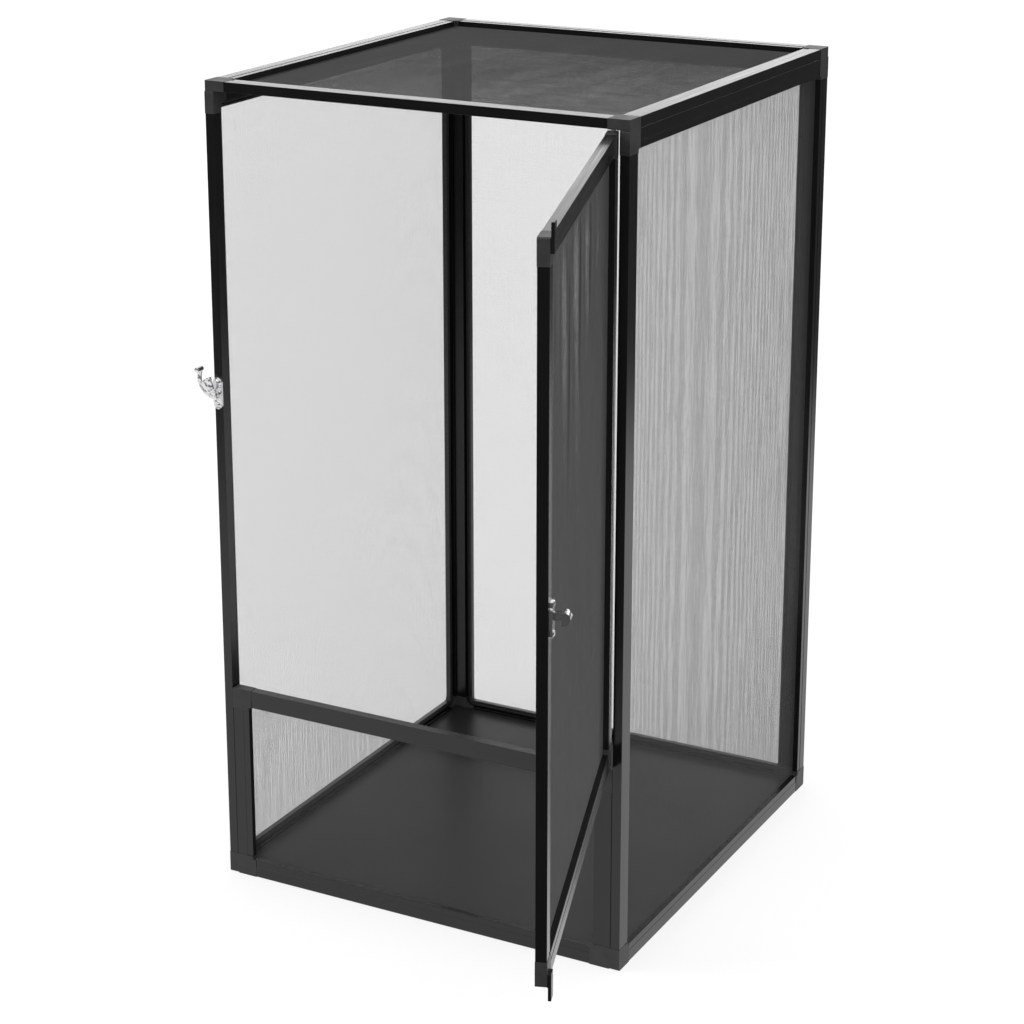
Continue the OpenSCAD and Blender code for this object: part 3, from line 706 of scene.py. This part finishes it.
class CAGE_OT_latch(bpy.types.Operator):
    """Make the chrome latch, its keeper and their screws"""
    bl_idname = "cage.latch"
    bl_label = "Latch and Keeper"

    # Each part's body, the radius of its edges, and whether that gives way where it's tight
    parts = {
        "latch_base": ("cage", 0.5 * MM, True),
        "latch_lever": ("lever", 0.45 * MM, False),
        "latch_rivet": ("cage", 0.4 * MM, False),
        "keeper": ("door", 0.5 * MM, True),
    }
    # A screw's domed head from its middle to its rim, as shares of its radius and height
    dome = ((0, 1), (0.16, 0.99), (0.5, 0.87), (0.8, 0.56), (1, 0.16))
    head_height = 1.3 * MM
    shank = 1.2 * MM
    facets = 16
    # The cross recess: its depth, and the reach of its arms and its middle as shares of the radius
    recess = 0.7 * MM
    arm = 0.5
    middle = 0.14
    # How far the lower and the upper screw are turned, in degrees
    turns = (20, 70)

    def screw(self, radius, depth):
        """A screw along Z with a domed head and a cross recess, its head's foot at the origin."""
        shape = bmesh.new()
        outline = [(radius * out, self.head_height * up) for out, up in self.dome]
        outline += [(radius, 0), (self.shank, 0), (self.shank, -depth), (0, -depth)]
        points = [shape.verts.new((out, 0, up)) for out, up in outline]
        edges = [shape.edges.new(pair) for pair in zip(points, points[1:])]
        bmesh.ops.spin(
            shape, geom=points + edges, cent=(0, 0, 0), axis=(0, 0, 1), angle=2 * math.pi,
            steps=self.facets, use_merge=True)
        bmesh.ops.remove_doubles(shape, verts=shape.verts, dist=CLOSE)
        half_step = Matrix.Rotation(math.pi / self.facets, 3, "Z")
        bmesh.ops.rotate(shape, verts=shape.verts, cent=(0, 0, 0), matrix=half_step)
        slot = []
        for face in shape.faces:
            x, y, up = face.calc_center_median()
            reach = math.hypot(x, y)
            on_arm = min(abs(x), abs(y)) < 0.01 * reach and reach < self.arm * radius
            if up > self.head_height / 2 and (on_arm or reach < self.middle * radius):
                slot.append(face)
        sunk = bmesh.ops.extrude_face_region(shape, geom=slot)["geom"]
        bmesh.ops.translate(
            shape, verts=[v for v in sunk if isinstance(v, bmesh.types.BMVert)],
            vec=(0, 0, -self.recess))
        return shape

    def screws(self, node, face, body, chrome):
        """The two screws of a node, on a face whose Z axis points outwards."""
        spots = [face.inverted() @ v.co for v in frame["nodes"][node].data.vertices]
        low = Vector(map(min, zip(*spots)))
        high = Vector(map(max, zip(*spots)))
        radius = (high.x - low.x) / 2
        under = high.z - self.head_height
        both = bmesh.new()
        for degrees, y in zip(self.turns, (low.y + radius, high.y - radius)):
            shape = self.screw(radius, under - low.z)
            shape.transform(face @ moved((low.x + high.x) / 2, y, under) @ turned(0, degrees))
            one = bpy.data.meshes.new("one_screw")
            shape.to_mesh(one)
            shape.free()
            both.from_mesh(one)
            bpy.data.meshes.remove(one)
        piece(f"{node}_plated", finished(both, node), chrome, body, [node])

    def execute(self, context):
        chrome = finish("chrome_plate")
        for node, (body, radius, clamp) in self.parts.items():
            rounded_copy(
                node, "plated", chrome, body, radius, degrees=40, segments=4, clamp=clamp)
        self.screws("latch_screws", moved(*LATCH) @ turned(90, 0), "cage", chrome)
        self.screws("keeper_screws", panel_places()["door"] @ turned(180, 0), "door", chrome)
        return {"FINISHED"}


class CAGE_OT_studio(bpy.types.Operator):
    """Set up the white studio: floor, lamps, world and camera"""
    bl_idname = "cage.studio"
    bl_label = "Studio"

    # The camera's place, from the photograph's perspective
    aim = (-0.017, 0.0, 0.4476)
    azimuth = 28.01
    elevation = 16.285
    distance = 2.3817
    lens = 89.83
    shift = -0.125

    # Each lamp's name, place, target, width and height, and power
    lamps = (
        ("upper_left_softbox", (-2.4, -1.6, 3.0), (0, 0, 0.4), (1.3, 1.3), 30),
        ("rear_softbox", (-1.8, 4.0, 1.4), (-1.8, 0, 1.0), (5.6, 0.8), 26),
        ("rear_right_softbox", (1.9, 4.0, 1.9), (0, 0, 0.75), (1.0, 1.0), 12),
        ("right_strip", (2.7, -1.3, 0.9), (0, 0, 0.5), (0.5, 1.6), 8),
    )

    # How far the floor reaches each way, and how far it lies below the object
    reach = 30
    drop = 0.3 * MM
    # Directions on the floor, and how far along each the floor starts and stops fading in the
    # gloss:
    # the edges of a painted pool of light that the object reflects, with painted shade beyond it
    painted_pool_fades = (((0.47, 0.88, 0), 1.15, 1.9), ((0.494, -0.87, 0), 0.5, 0.76))
    # The floor's glow, the share of it that the gloss sees as a painted reflection of a lit studio,
    # and the share of the floor's colour that is left in the gloss where the glow has faded, as
    # painted shade
    glow = 0.77
    painted_reflection_glow = 0.9
    painted_reflection_dark = 0.25
    # The share of the world that the gloss misses at the horizon, a painted shade in the
    # reflections, and the heights between which it comes back
    horizon_reflection_shade = 0.85
    horizon_shade_heights = (0.08, 0.45)

    def math_node(self, tree, operation, first, second):
        """The result of one operation on two values, each a number or a socket."""
        node = tree.nodes.new("ShaderNodeMath")
        node.operation = operation
        for socket, value in zip(node.inputs, (first, second)):
            if isinstance(value, (int, float)):
                socket.default_value = value
            else:
                tree.links.new(value, socket)
        return node.outputs[0]

    def fade(self, tree, value, start, end, first, last):
        """A value that runs smoothly from first to last."""
        node = tree.nodes.new("ShaderNodeMapRange")
        node.interpolation_type = "SMOOTHSTEP"
        ends = (("From Min", start), ("From Max", end), ("To Min", first), ("To Max", last))
        for socket, number in ends:
            node.inputs[socket].default_value = number
        tree.links.new(value, node.inputs["Value"])
        return node.outputs["Result"]

    def painted_pool_share(self, tree):
        """How much of the floor's brightness the gloss sees: the painted pool of light in the
        reflections.
        """
        place = tree.nodes.new("ShaderNodeTexCoord").outputs["Object"]
        lit = 1
        for direction, start, end in self.painted_pool_fades:
            along = tree.nodes.new("ShaderNodeVectorMath")
            along.operation = "DOT_PRODUCT"
            along.inputs[1].default_value = direction
            tree.links.new(place, along.inputs[0])
            lit = self.math_node(
                tree, "MULTIPLY", lit, self.fade(tree, along.outputs["Value"], start, end, 1, 0))
        return lit

    def ground(self, colours):
        """The floor: white with the object's shadow; in the gloss a painted pool of light, darker
        far off.
        """
        shape = bmesh.new()
        bmesh.ops.create_grid(shape, x_segments=8, y_segments=8, size=self.reach)
        bmesh.ops.translate(shape, verts=shape.verts, vec=(0, 0, -self.drop))
        floor = bpy.data.objects.new("studio_floor", finished(shape, "studio_floor"))
        bpy.context.scene.collection.objects.link(floor)
        material, principled = shader("studio_white", colours.stage, 0.9, specular=0.1)
        tree = material.node_tree
        path = tree.nodes.new("ShaderNodeLightPath")
        glossy = path.outputs["Is Glossy Ray"]
        lit = self.painted_pool_share(tree)
        # Painted shade in the reflections: glossy rays see the floor's colour darkened outside the
        # painted pool
        unlit = self.math_node(tree, "MULTIPLY", glossy, self.math_node(tree, "SUBTRACT", 1, lit))
        kept = self.math_node(
            tree, "SUBTRACT", 1, self.math_node(tree, "MULTIPLY", unlit, 1 - self.painted_reflection_dark))
        shown = self.math_node(tree, "MULTIPLY", kept, colours.stage[0])
        tree.links.new(shown, principled.inputs["Base Color"])
        seen = self.math_node(
            tree, "MAXIMUM", path.outputs["Is Camera Ray"], path.outputs["Is Transmission Ray"])
        # Painted reflection: glossy rays see the floor glow inside the pool, though the floor is no
        # lamp
        mirrored = self.math_node(
            tree, "MULTIPLY", self.math_node(tree, "MULTIPLY", glossy, lit), self.painted_reflection_glow)
        light = tree.nodes.new("ShaderNodeEmission")
        strongest = self.math_node(tree, "MAXIMUM", seen, mirrored)
        tree.links.new(
            self.math_node(tree, "MULTIPLY", strongest, self.glow), light.inputs["Strength"])
        both = tree.nodes.new("ShaderNodeAddShader")
        tree.links.new(principled.outputs[0], both.inputs[0])
        tree.links.new(light.outputs[0], both.inputs[1])
        tree.links.new(both.outputs[0], tree.nodes["Material Output"].inputs["Surface"])
        floor.data.materials.append(material)

    def world(self):
        """A white world, darker near the horizon for glossy rays: painted shade in the reflections.
        """
        world = bpy.data.worlds.new("white_studio")
        world.use_nodes = True
        tree = world.node_tree
        background = tree.nodes["Background"]
        background.inputs["Color"].default_value = (1, 1, 1, 1)
        path = tree.nodes.new("ShaderNodeLightPath")
        direction = tree.nodes.new("ShaderNodeTexCoord")
        height = tree.nodes.new("ShaderNodeSeparateXYZ")
        tree.links.new(direction.outputs["Generated"], height.inputs[0])
        # Painted shade: glossy rays see the world darker near the horizon
        painted_horizon_shade = self.fade(tree, height.outputs["Z"], *self.horizon_shade_heights, self.horizon_reflection_shade, 0)
        painted_horizon_shade = self.math_node(tree, "MULTIPLY", painted_horizon_shade, path.outputs["Is Glossy Ray"])
        tree.links.new(self.math_node(tree, "SUBTRACT", 1, painted_horizon_shade), background.inputs["Strength"])
        bpy.context.scene.world = world

    def lamp(self, name, place, target, size, power):
        """A rectangular softbox that the camera doesn't see."""
        light = bpy.data.lights.new(name, "AREA")
        light.shape = "RECTANGLE"
        light.size, light.size_y = size
        light.energy = power
        lamp = bpy.data.objects.new(name, light)
        lamp.location = place
        lamp.rotation_euler = (Vector(target) - Vector(place)).to_track_quat("-Z", "Y").to_euler()
        lamp.visible_camera = False
        bpy.context.scene.collection.objects.link(lamp)

    def camera(self):
        """The camera, where the photograph's perspective puts it."""
        a = math.radians(self.azimuth)
        e = math.radians(self.elevation)
        back = Vector((math.sin(a) * math.cos(e), -math.cos(a) * math.cos(e), math.sin(e)))
        data = bpy.data.cameras.new("photo_camera")
        data.sensor_width = 36
        data.lens = self.lens
        data.shift_y = self.shift
        data.clip_start = 0.05
        data.clip_end = 200
        camera = bpy.data.objects.new("photo_camera", data)
        camera.location = Vector(self.aim) + back * self.distance
        camera.rotation_euler = (-back).to_track_quat("-Z", "Y").to_euler()
        bpy.context.scene.collection.objects.link(camera)
        bpy.context.scene.camera = camera

    def execute(self, context):
        scene = context.scene
        self.ground(scene.cage_colours)
        for lamp in self.lamps:
            self.lamp(*lamp)
        self.world()
        scene.view_settings.view_transform = "Standard"
        self.camera()
        return {"FINISHED"}


class CAGE_PT_sidebar(bpy.types.Panel):
    """Lists the cage's pieces and sizes"""
    bl_idname = "CAGE_PT_sidebar"
    bl_label = "Screen Cage"
    bl_space_type = "VIEW_3D"
    bl_region_type = "UI"
    bl_category = "Screen Cage"

    def draw(self, context):
        for operator in OPERATORS:
            self.layout.operator(operator.bl_idname)
        for name, group in GROUPS.items():
            box = self.layout.box()
            box.label(text=group.__doc__)
            for value in group.__annotations__:
                box.prop(getattr(context.scene, name), value)


GROUPS = {
    "cage_frame": CageFrameSizes,
    "cage_door": CageDoorSizes,
    "cage_screen": CageScreenSizes,
    "cage_colours": CageColours,
}
OPERATORS = (
    CAGE_OT_studio, CAGE_OT_rails, CAGE_OT_blocks, CAGE_OT_screens, CAGE_OT_cords,
    CAGE_OT_small_parts, CAGE_OT_floor, CAGE_OT_stop_tabs, CAGE_OT_latch,
)


def register():
    for cls in (*GROUPS.values(), *OPERATORS, CAGE_PT_sidebar):
        bpy.utils.register_class(cls)
    for name, group in GROUPS.items():
        setattr(bpy.types.Scene, name, bpy.props.PointerProperty(type=group))


def unregister():
    for name in GROUPS:
        delattr(bpy.types.Scene, name)
    for cls in (CAGE_PT_sidebar, *reversed(OPERATORS), *reversed(GROUPS.values())):
        bpy.utils.unregister_class(cls)


def main():
    register()
    bpy.ops.cage.studio()
    bpy.ops.cage.rails()
    bpy.ops.cage.blocks()
    bpy.ops.cage.screens()
    bpy.ops.cage.cords()
    bpy.ops.cage.small_parts()
    bpy.ops.cage.floor()
    bpy.ops.cage.stop_tabs()
    bpy.ops.cage.latch()


if __name__ == "__main__":
    main()
